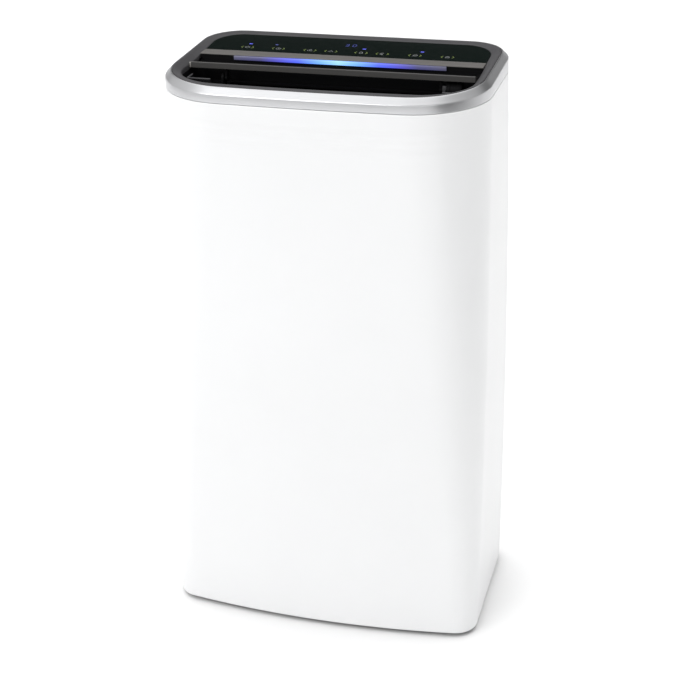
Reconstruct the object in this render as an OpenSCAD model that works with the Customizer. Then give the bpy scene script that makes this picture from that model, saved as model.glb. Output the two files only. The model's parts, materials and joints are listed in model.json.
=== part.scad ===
// Free-standing dehumidifier: millimetres, origin on the floor under the centre,
// +Z up, front towards -Y.

/* [Body] */
// width of the shell at its top edge
body_w = 340; // [336:1:344]
// depth of the shell at its top edge
body_d = 217; // [216:1:220]
// height of the white shell
shell_h = 601; // [600:1:603]
// moulded wall thickness of the covers
wall = 2.5; // [2.2:0.1:2.6]

/* [Outlet] */
// width of the moving louver vane
louver_w = 300; // [280:2:302]
// width of the light bar
light_w = 228; // [180:4:240]

/* [Fan] */
// radius of the fan wheel
wheel_r = 88; // [80:1:92]
// number of fan blades
blades = 36; // [24:2:40]

/* [Tank] */
// width of the water tank
tank_w = 166; // [140:2:166]
// height of the water tank's top edge
tank_top = 232; // [200:2:232]

/* [Casters] */
// radius of each caster wheel
caster_r = 13; // [11:0.5:13]

/* [Hidden] */
$fn = 64;

floor_gap = 5;       // shell's lower edge above the floor
seam_y = 76;         // plane where the front and rear covers meet
flare = 5.8;         // how much wider each side is at the bottom
swell = 3.4;         // barrel of each side at mid height
toe = 3.9;           // how far the front leans out at the bottom
rear_r = 45.6;       // rear corner radius
trim_top = shell_h + 15;
pivot = [-8, shell_h - 1];      // louver axis: y, z
duct_y = [-84, 24];             // plenum, outside
duct_x = 119;
duct_z = [shell_h - 56, shell_h - 11];
fan_z = 400;
scroll_y = [-56, 21];
deck_z = 250;
comp = [104, -8];    // compressor axis
comp_r = 50;
foot_r = 56;
foot_a = [0, 120, 240];
tank_x0 = -122;
tank_x1 = tank_x0 + tank_w;
tank_y = [-76, 104];
tank_z0 = 46;
drip = [-40, 50];
float_ax = [tank_x1 - 12, tank_top - 18];
handle_ax = [101.5, 212];
handle_x = [-74, -4];
filt_z = [285, 535];
filt_w = 116;
grip_z = [182, 218];
wells = [[-126, -64], [126, -64], [-126, 66], [126, 66]];
well_r = 24;
trail = 7;
drain = [88, 150];
inlet = [86, 72];
screws = [[-112, 572], [112, 572], [-112, 262], [112, 262], [112, 24], [-112, 24]];
key_x = [-109, -74.5, -39.5, -16.5, 16.5, 39.5, 74.5, 109];
key_y = 46.5;
bar_rear = 34;       // rear edge of the crossbar, where the glass starts
glass_in = 21;       // how far the glass stays inside the outline
bend = [6, 30];      // y where the top starts to rise, and where it has its full slope
slope = 0.085;       // rise per mm behind the bend
side_n = 5;          // points on the front arc, per half
fil_n = 9;           // points on each corner

// --- outlines -------------------------------------------------------------
// centre (x, y) of the front corner fillet for half width hw, front yf, sag s, radius r
function arc_r(hw, s) = (hw * hw + s * s) / (2 * s);
function fil_c(hw, yf, s, r) = let (R = arc_r(hw, s))
    [hw - r, yf + R - sqrt((R - r) * (R - r) - (hw - r) * (hw - r))];
// right half of a front, from the centre line to the side, inset by i
function front_half(hw, yf, s, r, i) = let (R = arc_r(hw, s), c = fil_c(hw, yf, s, r),
    cy = yf + R, a = atan2(c[1] - cy, c[0]))
    concat([for (k = [0 : side_n - 1]) let (t = -90 + (a + 90) * k / side_n)
            [(R - i) * cos(t), cy + (R - i) * sin(t)]],
        [for (k = [0 : fil_n]) let (t = a * (1 - k / fil_n))
            [c[0] + (r - i) * cos(t), c[1] + (r - i) * sin(t)]]);
function rear_half(hw, yr, r, i) =
    [for (k = [0 : fil_n]) let (t = 90 * k / fil_n)
        [hw - r + (r - i) * cos(t), yr - r + (r - i) * sin(t)]];
function mirrored(p) = [for (k = [len(p) - 1 : -1 : 0]) [-p[k][0], p[k][1]]];
function closed(f, r) = concat(f, r, mirrored(r), [for (k = [len(f) - 1 : -1 : 1])
    [-f[k][0], f[k][1]]]);

// the shell's own section at height z
function s_t(z) = min(max(z / shell_h, 0), 1);
function s_hw(z) = body_w / 2 + flare * (1 - s_t(z)) + 4 * swell * s_t(z) * (1 - s_t(z));
function s_yf(z) = -body_d / 2 - toe * (1 - s_t(z));
function s_sag(z) = 6.5 + 9 * (1 - s_t(z));
function s_rf(z) = 80 - 54 * (1 - s_t(z));
function s_front(z, i) = front_half(s_hw(z), s_yf(z), s_sag(z), s_rf(z), i);
function s_rear(z, i) = rear_half(s_hw(z), body_d / 2, rear_r, i);
function section(z, i) = let (f = s_front(z, i), x = f[len(f) - 1][0])
    closed(concat(f, [for (y = bend_y()) [x, y]]), s_rear(z, i));
function c_front(z, i) = let (h = concat(s_front(z, i), [[s_hw(z) - i, seam_y - 14]],
    seam_pt(z, i))) concat([for (k = [len(h) - 1 : -1 : 1]) [-h[k][0], h[k][1]]], h);
// point of the rear corner on the seam plane
function seam_pt(z, i) = let (c = body_d / 2 - rear_r, t = asin((seam_y - c) / (rear_r - i)))
    [[s_hw(z) - rear_r + (rear_r - i) * cos(t / 2), c + (rear_r - i) * sin(t / 2)],
     [s_hw(z) - rear_r + (rear_r - i) * cos(t), seam_y]];
function c_rear(z, i) = let (c = body_d / 2 - rear_r, t0 = asin((seam_y - c) / (rear_r - i)),
    h = [for (k = [0 : fil_n]) let (t = t0 + (90 - t0) * k / fil_n)
        [s_hw(z) - rear_r + (rear_r - i) * cos(t), c + (rear_r - i) * sin(t)]])
    concat(h, mirrored(h));
// the outlet opening in the top
function opening(i) = closed(front_half(152.5, -84.5, 6, 52, i), rear_half(152.5, 16, 6, i));

// how much the top rises at y: flat in front, then a short bend into a straight slope
function lift(y) = slope * (y < bend[0] ? 0 : y < bend[1] ?
    (y - bend[0]) * (y - bend[0]) / (2 * (bend[1] - bend[0])) : y - (bend[0] + bend[1]) / 2);
function bend_y() = [for (k = [0 : 3]) bend[0] + (bend[1] - bend[0]) * k / 3];

// rows of points, all the same length, skinned into one closed solid;
// ring = true closes each row, otherwise both ends are capped
module skin(rows, ring) {
    n = len(rows[0]);
    m = len(rows);
    jn = ring ? n : n - 1;
    quads = concat(
        [for (r = [0 : m - 1]) for (j = [0 : jn - 1])
            [r * n + j, ((r + 1) % m) * n + j, ((r + 1) % m) * n + (j + 1) % n,
             r * n + (j + 1) % n]],
        ring ? [] : [for (k = [0 : m / 2 - 2]) [k * n, (m - 1 - k) * n, (m - 2 - k) * n,
            (k + 1) * n]],
        ring ? [] : [for (k = [0 : m / 2 - 2]) [k * n + n - 1, (k + 1) * n + n - 1,
            (m - 2 - k) * n + n - 1, (m - 1 - k) * n + n - 1]]);
    polyhedron([for (r = rows) for (p = r) p],
        [for (q = quads) for (t = [0, 1]) t == 0 ? [q[0], q[1], q[2]] : [q[0], q[2], q[3]]]);
}
function at(pts, z) = [for (p = pts) [p[0], p[1], z]];
function raised(pts, z) = [for (p = pts) [p[0], p[1], z + lift(p[1])]];
// a layer between heights z0 and z1 that follows the rise of the top, over y0 to y1
module layer(z0, z1, y0, y1) {
    ys = concat([y0], [for (y = bend_y()) if (y > y0 && y < y1) y], [y1]);
    rotate([90, 0, 90]) translate([0, 0, -200]) linear_extrude(400)
        polygon(concat([for (y = ys) [y, z0 + lift(y)]],
            [for (k = [len(ys) - 1 : -1 : 0]) [ys[k], z1 + lift(ys[k])]]));
}
function levels() = [for (k = [0 : 8]) floor_gap + (shell_h - floor_gap) * k / 8];

module box(a, b) { translate(a) cube(b - a); }
module slab(z0, z1) { translate([0, 0, z0]) linear_extrude(z1 - z0) children(); }
module tube(r1, r2, h) { difference() { cylinder(r = r2, h = h); translate([0, 0, -1])
    cylinder(r = r1, h = h + 2); } }
module along_x() { rotate([0, 90, 0]) children(); }
module along_y() { rotate([-90, 0, 0]) children(); }
module pipe(pts, r) {
    for (k = [0 : len(pts) - 2]) {
        d = pts[k + 1] - pts[k];
        translate(pts[k]) rotate([0, acos(d[2] / norm(d)), atan2(d[1], d[0])])
            cylinder(r = r, h = norm(d));
    }
    for (k = [1 : 1 : len(pts) - 2]) translate(pts[k]) sphere(r = r + 0.5);
}

// --- covers ---------------------------------------------------------------
module front_cover() {
    color("white") skin(concat([for (z = levels()) at(c_front(z, 0), z)],
        [for (k = [8 : -1 : 0]) at(c_front(levels()[k], wall), levels()[k])]), false);
}
module rear_cover() {
    color("white") difference() {
        skin(concat([for (z = levels()) at(c_rear(z, 0), z)],
            [for (k = [8 : -1 : 0]) at(c_rear(levels()[k], wall), levels()[k])]), false);
        box([-filt_w, 90, filt_z[0]], [filt_w, 120, filt_z[1]]);
        box([tank_x0 - 5.5, 90, 41.5], [tank_x1 + 5.5, 120, tank_top + 6.5]);
        box([inlet[0] - 15.2, 90, inlet[1] - 11.2], [inlet[0] + 15.2, 120, inlet[1] + 11.2]);
        translate([drain[0], 90, drain[1]]) along_y() cylinder(r = 8.3, h = 30);
        for (s = screws) translate([s[0], 90, s[1]]) along_y() cylinder(r = 2.2, h = 30);
    }
}
module trim_ring() {
    color("silver") skin([at(section(shell_h, 0.3), shell_h), raised(section(shell_h, 0.6),
        shell_h + 9), raised(section(shell_h, 2.2), shell_h + 13), raised(section(shell_h, 5.2),
        trim_top), raised(section(shell_h, 5.7), trim_top - 1.8), raised(section(shell_h, 12),
        trim_top - 1.8), at(section(shell_h, 12), shell_h)], true);
}

// --- console --------------------------------------------------------------
module top_frame() {
    z = trim_top - 1.7;
    color("dimgray") difference() {
        union() {
            // dark ring: the front part round the outlet, then the part round the glass
            intersection() {
                slab(z - 5, z + 20) difference() {
                    polygon(section(shell_h, 6));
                    polygon(opening(0));
                    translate([-200, bar_rear]) square([400, 200]);
                }
                layer(z, z + 2, -150, 150);
            }
            intersection() {
                slab(z - 5, z + 20) difference() {
                    polygon(section(shell_h, 6));
                    polygon(section(shell_h, glass_in - 0.3));
                }
                layer(z, z + 2.6, 16, 150);
            }
            // shelf under the glass
            intersection() {
                slab(z - 5, z + 20) polygon(section(shell_h, 12.4));
                layer(z - 1.7, z + 0.05, 18, 150);
            }
            slab(duct_z[1], z) difference() { polygon(opening(-2)); polygon(opening(0)); }
            box([-152, 16, z - 1.5], [152, bar_rear, z + 3.9]);
        }
        box([-light_w / 2 - 0.2, 14, trim_top - 4.7], [light_w / 2 + 0.2, 20.5, trim_top + 1.4]);
        for (x = key_x) translate([x, key_y, z - 4]) cylinder(r = 5, h = 8);
    }
}
module touch_panel() {
    color("black") intersection() {
        slab(trim_top - 5, trim_top + 20) polygon(section(shell_h, glass_in));
        layer(trim_top - 1.6, trim_top + 0.5, bar_rear + 0.3, 150);
    }
}
module touch_board() {
    z = shell_h + 3;
    color("green") {
        box([-130, 30, z], [130, 92, z + 1.6]);
        for (x = [-109, 16.5, 74.5]) box([x - 2, 69, z + 1.6], [x + 2, 73, z + 3.4]);
        box([-14, 76, z + 1.6], [8, 88, z + 8]);
    }
}
module touch_springs() {
    color("silver") for (x = key_x) translate([x, key_y, shell_h + 4.6])
        tube(2.6, 3.2, trim_top - 1.7 + lift(key_y - 3.2) - shell_h - 4.6);
}
module light_lens() {
    color("lightblue") box([-light_w / 2, 14.8, trim_top - 4.5], [light_w / 2, 17.6,
        trim_top + 1.2]);
}
module light_board() {
    color("green") {
        box([-light_w / 2, 18.6, trim_top - 4.5], [light_w / 2, 20.2, trim_top + 1.2]);
        for (k = [0 : 11]) translate([-104.5 + 19 * k, 17.7, trim_top - 3]) cube([3.5, 0.9, 3]);
    }
}
module outlet_duct() {
    color("black") difference() {
        union() {
            box([-duct_x, duct_y[0], duct_z[0]], [duct_x, duct_y[1], duct_z[1] - 2]);
            slab(duct_z[1] - 2, duct_z[1]) polygon(opening(-2));
            box([-duct_x, 17, duct_z[1] - 2], [duct_x, duct_y[1], duct_z[1]]);
            for (s = [-1, 1]) translate([s * (duct_x - 1.25) - 1.25, 0, 0]) {
                box([0, pivot[0] - 5.5, duct_z[1] - 2], [2.5, pivot[0] + 5.5, pivot[1]]);
                translate([0, pivot[0], pivot[1]]) along_x() cylinder(r = 5.5, h = 2.5);
            }
        }
        box([2.5 - duct_x, duct_y[0] + 2.5, duct_z[0] + 2.5], [duct_x - 2.5, 12,
            duct_z[1] + 1]);
        box([2.5 - duct_x, 11, duct_z[0] + 2.5], [duct_x - 2.5, duct_y[1] - 2.5,
            duct_z[1] - 2]);
        box([-109.5, -53.5, duct_z[0] - 1], [57.5, 18.5, duct_z[0] + 3]);
        translate([-duct_x - 5, pivot[0], pivot[1]]) along_x()
            cylinder(r = 2.1, h = 2 * duct_x + 10);
    }
}
module outlet_grille() {
    z = duct_z[1] - 16;
    color("black") {
        for (k = [-7 : 7]) box([k * 15 - 0.9, -81.5, z], [k * 15 + 0.9, 21.5, z + 7]);
        for (y = [-56, -30, -4]) difference() {
            box([-116.5, y - 0.9, z + 1], [116.5, y + 0.9, z + 6]);
            for (k = [-7 : 7]) box([k * 15 - 0.9, y - 2, z - 1], [k * 15 + 0.9, y + 2, z + 8]);
        }
    }
}
module louver() {
    color("dimgray") {
        along_x() translate([0, 0, -louver_w / 2]) linear_extrude(louver_w)
            polygon([for (p = [[-16, 617], [-16.6, 614], [-15.5, 611.6], [-8, 609.6],
                [8, 606.6], [8.6, 608], [-6, 614.2], [-14, 617.2]])
                [-(p[1] + shell_h - 601), p[0]]]);
        for (s = [-1, 1]) translate([s * 114.3 - 1.7, 0, 0]) {
            box([0, pivot[0] - 3.6, pivot[1]], [3.4, pivot[0] + 3.6, pivot[1] + 10]);
            translate([0, pivot[0], pivot[1]]) along_x() cylinder(r = 3.6, h = 3.4);
        }
        translate([-duct_x, pivot[0], pivot[1]]) along_x() cylinder(r = 2.04, h = 5);
        translate([115, pivot[0], pivot[1]]) along_x() cylinder(r = 2.04, h = 9);
    }
}
module louver_motor() {
    color("gray") difference() {
        translate([duct_x + 0.5, pivot[0], pivot[1]]) along_x() cylinder(r = 8.8, h = 17);
        translate([duct_x, pivot[0], pivot[1]]) along_x() cylinder(r = 2.1, h = 6);
    }
}

// --- fan ------------------------------------------------------------------
module scroll_2d(t) {
    translate([0, fan_z]) circle(r = 112 - t);
    translate([t - 112, fan_z]) square([172 - 2 * t, duct_z[0] - fan_z + (t > 0 ? 1 : 0)]);
}
module scroll_housing() {
    color("dimgray") difference() {
        translate([0, scroll_y[1], 0]) rotate([90, 0, 0])
            linear_extrude(scroll_y[1] - scroll_y[0]) scroll_2d(0);
        translate([0, scroll_y[1] + 1, 0]) rotate([90, 0, 0])
            linear_extrude(scroll_y[1] - scroll_y[0] - 1.5) scroll_2d(2.5);
        translate([0, scroll_y[0] - 1, fan_z]) along_y() cylinder(r = 10, h = 6);
        for (a = [45 : 90 : 315]) translate([32 * cos(a), scroll_y[0] - 1, fan_z + 32 * sin(a)])
            along_y() cylinder(r = 2.1, h = 6);
    }
}
module inlet_plate() {
    y = scroll_y[1];
    color("dimgray") difference() {
        union() {
            box([-136.5, y, deck_z + 16], [136.5, y + 2.5, shell_h - 62]);
            translate([0, y - 7, fan_z]) along_y() cylinder(r = 76, h = 8);
        }
        translate([0, y - 8, fan_z]) along_y() cylinder(r = 73.5, h = 20);
    }
}
module fan_wheel() {
    y = scroll_y[0] + 8;
    color("dimgray") translate([0, y, fan_z]) along_y() {
        difference() {
            union() {
                cylinder(r = wheel_r, h = 2);
                cylinder(r = 12, h = 26);
            }
            translate([0, 0, -1]) cylinder(r = 3.2, h = 40);
        }
        translate([0, 0, 52]) tube(wheel_r - 10, wheel_r, 2);
        for (k = [0 : blades - 1]) rotate([0, 0, 360 * k / blades])
            translate([wheel_r - 11, -0.6, 1.9]) rotate([0, 0, 32]) cube([11, 1.2, 50.2]);
    }
}
module fan_shaft() {
    color("silver") translate([0, scroll_y[0] - 14, fan_z]) along_y() {
        cylinder(r = 3.15, h = 50);
        translate([0, 0, 48.1]) cylinder(r = 6, h = 5, $fn = 6);
    }
}
module fan_motor() {
    color("gray") translate([0, scroll_y[0] - 38.1, fan_z]) along_y() difference() {
        union() {
            cylinder(r = 36, h = 34);
            translate([0, 0, 34]) cylinder(r = 40, h = 4);
        }
        translate([0, 0, 20]) cylinder(r = 3.2, h = 20);
        for (a = [45 : 90 : 315]) translate([32 * cos(a), -32 * sin(a), 26])
            cylinder(r = 2.1, h = 20);
    }
}
module motor_screws() {
    color("silver") for (a = [45 : 90 : 315])
        translate([32 * cos(a), scroll_y[0] - 9, fan_z + 32 * sin(a)]) along_y() {
            cylinder(r = 2, h = 11.5);
            translate([0, 0, 11.5]) cylinder(r = 3.8, h = 2);
        }
}

// --- coils ----------------------------------------------------------------
coil_z = [for (k = [0 : 9]) 297 + 24 * k];
module fins(y0, y1) {
    yc = (y0 + y1) / 2;
    color("silver") difference() {
        for (k = [-20 : 20]) box([k * 6 - 0.25, y0, 285], [k * 6 + 0.25, y1, 525]);
        for (z = coil_z) translate([-150, yc, z]) along_x() cylinder(r = 4, h = 300);
    }
}
module tubes(yc) {
    color("peru") {
        for (z = coil_z) translate([-127, yc, z]) along_x() cylinder(r = 3.9, h = 254);
        for (k = [0 : 8]) translate([k % 2 == 0 ? -127 : 127, yc, (coil_z[k] + coil_z[k + 1]) / 2])
            rotate([90, 0, k % 2 == 0 ? 180 : 0]) rotate([0, 0, -90])
                rotate_extrude(angle = 180) translate([12, 0]) circle(r = 3.9);
    }
}
module evaporator_fins() { fins(58, 80); }
module evaporator_tubes() { tubes(69); }
module condenser_fins() { fins(29, 51); }
module condenser_tubes() { tubes(40); }
module coil_plates() {
    color("silver") for (s = [-1, 1]) difference() {
        box([s * 124 - 0.6, 26, deck_z + 30], [s * 124 + 0.6, 83, 530]);
        for (z = coil_z) for (y = [40, 69]) translate([s * 124 - 5, y, z]) along_x()
            cylinder(r = 4, h = 10);
    }
}

// --- decks ----------------------------------------------------------------
module drip_tray() {
    z = deck_z + 2.5;
    color("dimgray") difference() {
        union() {
            box([-138, 25, z], [138, 88, z + 16]);
            translate([drip[0], drip[1], z - 8]) cylinder(r = 7, h = 9);
        }
        box([-136, 27, z + 2.5], [136, 86, z + 20]);
        translate([drip[0], drip[1], z - 10]) cylinder(r = 5, h = 20);
    }
}
module mid_deck() {
    color("dimgray") difference() {
        slab(deck_z, deck_z + 2.5) polygon(section(deck_z, 3.2));
        translate([drip[0], drip[1], deck_z - 1]) cylinder(r = 7.4, h = 5);
        for (p = [[144, -74], [134, -8]]) translate([p[0], p[1], deck_z - 1])
            cylinder(r = 7, h = 5);
    }
}
module bay_partition() {
    x = tank_x1 + 2.5;
    color("dimgray") {
        box([x, -80, 11], [x + 2.2, 98, deck_z]);
        box([tank_x0 - 14, -82.2, 40], [x + 2.2, -80, deck_z]);
    }
}
module foot_bosses() {
    for (a = foot_a) translate([comp[0] + foot_r * cos(a), comp[1] + foot_r * sin(a), 11])
        cylinder(r = 8, h = 33);
}
module base_pan() {
    color("dimgray") difference() {
        union() {
            slab(8, 40) difference() {
                polygon(section(40, 4.8));
                polygon(section(40, 6.8));
            }
            slab(8, 11) polygon(section(40, 5));
            for (w = wells) translate([w[0], w[1], 8]) cylinder(r = well_r + 2.5, h = 30);
            foot_bosses();
        }
        for (w = wells) translate([w[0], w[1], 0]) {
            difference() {
                translate([0, 0, 7]) cylinder(r = well_r, h = 28.5);
                translate([0, 0, 30]) cylinder(r = 9, h = 6);
            }
            cylinder(r = 4.05, h = 50);
        }
        for (a = foot_a) translate([comp[0] + foot_r * cos(a), comp[1] + foot_r * sin(a), 20])
            cylinder(r = 4, h = 30);
        for (s = screws) translate([s[0], 90, s[1]]) along_y() cylinder(r = 2, h = 30);
    }
}

// --- refrigeration --------------------------------------------------------
module compressor() {
    r = comp_r;
    color([0.1, 0.1, 0.1]) {
        translate([comp[0], comp[1], 0]) difference() {
            union() {
                rotate_extrude($fn = 96) polygon([[0, 58], [r - 12, 58], [r - 4, 61], [r, 68],
                    [r, 205], [r - 3, 212], [r - 12, 219], [r - 28, 223.5], [0, 225]]);
                slab(58, 60.5) for (a = foot_a) rotate([0, 0, a]) {
                    translate([0, -10]) square([foot_r, 20]);
                    translate([foot_r, 0]) circle(r = 10);
                }
            }
            for (a = foot_a) rotate([0, 0, a]) translate([foot_r, 0, 50]) cylinder(r = 4.2, h = 20);
        }
        translate([comp[0] - 18, comp[1], 222]) cylinder(r = 14, h = 14);
    }
}
module accumulator() {
    color([0.1, 0.1, 0.1]) translate([104, -78, 0]) rotate_extrude() polygon([[0, 88],
        [8, 90], [16, 97], [17, 104], [17, 176], [16, 183], [8, 190], [0, 192]]);
}
module grommets() {
    color([0.15, 0.15, 0.15]) for (a = foot_a)
        translate([comp[0] + foot_r * cos(a), comp[1] + foot_r * sin(a), 44])
            tube(4.1, 8, 14);
}
module studs() {
    color("silver") for (a = foot_a)
        translate([comp[0] + foot_r * cos(a), comp[1] + foot_r * sin(a), 20])
            cylinder(r = 4, h = 48);
}
module nuts() {
    color("silver") for (a = foot_a)
        translate([comp[0] + foot_r * cos(a), comp[1] + foot_r * sin(a), 60.5]) difference() {
            cylinder(r = 7, h = 5, $fn = 6);
            translate([0, 0, -1]) cylinder(r = 4, h = 8);
        }
}
module suction_pipe() {
    color("peru") pipe([[104, -78, 192], [104, -78, 240], [144, -74, 240], [144, -74, 272],
        [158, 69, 272], [158, 69, coil_z[0]], [127, 69, coil_z[0]]], 4);
}
module discharge_pipe() {
    color("peru") pipe([[112, -8, 225], [112, -8, 240], [134, -8, 240], [134, -8, 275],
        [146, 40, 275], [146, 40, coil_z[0]], [127, 40, coil_z[0]]], 3.2);
}
module capillary() {
    z = coil_z[9];
    color("peru") pipe([[127, 40, z], [138, 40, z], [138, 44, z + 12], [138, 66, z + 12],
        [138, 69, z], [127, 69, z]], 1.6);
}

// --- tank -----------------------------------------------------------------
module tank() {
    color([0.75, 0.8, 0.85]) difference() {
        union() {
            box([tank_x0, tank_y[0], tank_z0], [tank_x1, tank_y[1], tank_top]);
            box([tank_x0 - 5, tank_y[1], 42], [tank_x1 + 5, body_d / 2, tank_top + 6]);
        }
        difference() {
            box([tank_x0 + 2.5, tank_y[0] + 2.5, tank_z0 + 2.5], [tank_x1 - 2.5,
                tank_y[1] - 2.5, tank_top + 1]);
            box([handle_x[0] - 4, 86, grip_z[0] - 2.5], [handle_x[1] + 4, 110,
                grip_z[1] + 2.5]);
        }
        box([handle_x[0], 88.5, grip_z[0]], [handle_x[1], 120, grip_z[1]]);
        translate([handle_x[0] - 2.5, handle_ax[0], handle_ax[1]]) along_x()
            cylinder(r = 2.06, h = handle_x[1] - handle_x[0] + 5);
    }
}
module tank_lid() {
    z = tank_top;
    color("dimgray") {
        difference() {
            box([tank_x0, tank_y[0], z], [tank_x1, tank_y[1], z + 2.2]);
            translate([drip[0], drip[1], z - 1]) cylinder(r = 16, h = 5);
        }
        for (y = [-66, -10]) difference() {
            box([float_ax[0] - 5, y, float_ax[1] - 5], [float_ax[0] + 5, y + 4, z]);
            translate([float_ax[0], y - 1, float_ax[1]]) along_y() cylinder(r = 2.06, h = 6);
        }
    }
}
module tank_handle() {
    color("dimgray") {
        box([handle_x[0] + 1, handle_ax[0] - 2, grip_z[0] + 10], [handle_x[1] - 1,
            handle_ax[0] + 3, handle_ax[1]]);
        translate([handle_x[0] + 1, handle_ax[0], handle_ax[1]]) along_x()
            cylinder(r = 3, h = handle_x[1] - handle_x[0] - 2);
        translate([handle_x[0] - 2, handle_ax[0], handle_ax[1]]) along_x()
            cylinder(r = 2, h = handle_x[1] - handle_x[0] + 4);
    }
}
module float() {
    x = float_ax[0];
    z = float_ax[1];
    color("white") {
        translate([x, -66, z]) along_y() cylinder(r = 2, h = 60);
        box([x - 4, -56, z - 26], [x, -18, z + 1.4]);
        box([x - 40, -58, z - 50], [x + 4, -16, z - 22]);
    }
}
module level_switch() {
    x = tank_x1 + 4.7;
    color([0.15, 0.15, 0.15]) box([x, -56, tank_top - 50], [x + 9, -34, tank_top - 30]);
}

// --- rear -----------------------------------------------------------------
module filter_frame() {
    y = body_d / 2;
    x = filt_w;
    color("white") {
        difference() {
            union() {
                box([-x - 6, y + 0.1, filt_z[0] - 6], [x + 6, y + toe, filt_z[1] + 6]);
                box([0.5 - x, y - 12, filt_z[0] + 0.5], [x - 0.5, y + 1, filt_z[1] - 0.5]);
            }
            box([3 - x, y - 20, filt_z[0] + 3], [x - 3, y + 20, filt_z[1] - 3]);
        }
        for (k = [0 : 15]) box([3 - x, y - 4, filt_z[0] + 13 + 15 * k], [x - 3, y + 2.6,
            filt_z[0] + 17 + 15 * k]);
        for (k = [-2 : 2]) box([k * 38 - 1, y - 6, filt_z[0] + 3], [k * 38 + 1, y - 4,
            filt_z[1] - 3]);
    }
}
module filter_mesh() {
    y = body_d / 2;
    color([0.2, 0.2, 0.2]) difference() {
        box([3.2 - filt_w, y - 8, filt_z[0] + 3.2], [filt_w - 3.2, y - 6.2, filt_z[1] - 3.2]);
        for (i = [0 : 5], j = [0 : 5]) translate([-109 + 37 * i, y - 9, filt_z[0] + 8 + 40 * j])
            cube([33, 4, 34]);
    }
}
module carbon_filter() {
    y = body_d / 2;
    color([0.1, 0.1, 0.1]) box([3.2 - filt_w, y - 16, filt_z[0] + 3.2], [filt_w - 3.2, y - 8.1,
        filt_z[1] - 3.2]);
}
module power_inlet() {
    color([0.1, 0.1, 0.1]) translate([inlet[0], body_d / 2, inlet[1]]) difference() {
        union() {
            box([-15, -22, -11], [15, 0.1, 11]);
            box([-19, 0.1, -14], [19, 2, 14]);
        }
        difference() {
            box([-12, -17, -9], [12, 3, 9]);
            for (x = [-7, 0, 7]) box([x - 1, -18, x == 0 ? 0 : -4], [x + 1, -3, x == 0 ? 4 : 0]);
        }
    }
}
module drain_spout() {
    color([0.75, 0.75, 0.75]) translate([drain[0], body_d / 2 - 20, drain[1]]) along_y()
        difference() {
            union() { cylinder(r = 8, h = 22); translate([0, 0, 20.1]) cylinder(r = 11, h = 1.9); }
            translate([0, 0, 2]) cylinder(r = 6, h = 22);
        }
}
module drain_cap() {
    color([0.2, 0.2, 0.2]) translate([drain[0], body_d / 2 - 8, drain[1]]) along_y() {
        cylinder(r = 5.9, h = 10.2);
        translate([0, 0, 10.2]) cylinder(r = 10, h = 1.6);
    }
}
module cover_screws() {
    color("silver") for (s = screws) translate([s[0], body_d / 2 - 10, s[1]]) along_y() {
        cylinder(r = 2, h = 10.1);
        translate([0, 0, 10.1]) cylinder(r = 4, h = 1.8);
    }
}

// --- electrics ------------------------------------------------------------
module power_box() {
    color([0.2, 0.2, 0.2]) difference() {
        box([124, -62, 290], [162, 8, 470]);
        box([126, -60, 292], [170, 6, 468]);
    }
}
module capacitor() {
    color([0.8, 0.8, 0.8]) translate([-140, -34, 290]) {
        cylinder(r = 18, h = 72);
        for (x = [-6, 6]) translate([x - 3, -0.4, 72]) cube([6, 0.8, 8]);
    }
}
module humidity_sensor() {
    color("green") box([-146, 60, 400], [-144.4, 84, 424]);
}

// --- casters --------------------------------------------------------------
module fork(k) {
    color([0.2, 0.2, 0.2]) translate([wells[k][0], wells[k][1], 0]) {
        translate([0, 0, 27.5]) cylinder(r = 12, h = 2.2);
        translate([0, 0, 29]) cylinder(r = 4, h = 9);
        for (s = [-1, 1]) box([s * 7 - 1, -4, 7], [s * 7 + 1, 12, 28]);
        translate([-8, trail, caster_r]) along_x() cylinder(r = 2, h = 16);
    }
}
module caster_wheel(k) {
    color([0.1, 0.1, 0.1]) translate([wells[k][0] - 5.5, wells[k][1] + trail, caster_r])
        along_x() tube(2.06, caster_r, 11);
}

front_cover();
rear_cover();
trim_ring();
top_frame();
touch_panel();
touch_board();
touch_springs();
light_lens();
light_board();
outlet_duct();
outlet_grille();
louver();
louver_motor();
scroll_housing();
inlet_plate();
fan_wheel();
fan_shaft();
fan_motor();
motor_screws();
evaporator_fins();
evaporator_tubes();
condenser_fins();
condenser_tubes();
coil_plates();
drip_tray();
mid_deck();
bay_partition();
compressor();
accumulator();
grommets();
studs();
nuts();
suction_pipe();
discharge_pipe();
capillary();
tank();
tank_lid();
tank_handle();
float();
level_switch();
filter_frame();
filter_mesh();
carbon_filter();
base_pan();
fork(0);  // fork_fl
fork(1);  // fork_fr
fork(2);  // fork_rl
fork(3);  // fork_rr
caster_wheel(0);  // wheel_fl
caster_wheel(1);  // wheel_fr
caster_wheel(2);  // wheel_rl
caster_wheel(3);  // wheel_rr
power_box();
capacitor();
power_inlet();
drain_spout();
drain_cap();
cover_screws();
humidity_sensor();
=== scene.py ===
"""Looks of the free-standing dehumidifier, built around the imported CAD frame.

Metres, the CAD's own frame: floor at z 0, front towards -Y, +X on the viewer's right.
"""

import json
import math

import bmesh
import bpy
from mathutils import Matrix, Vector


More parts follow.
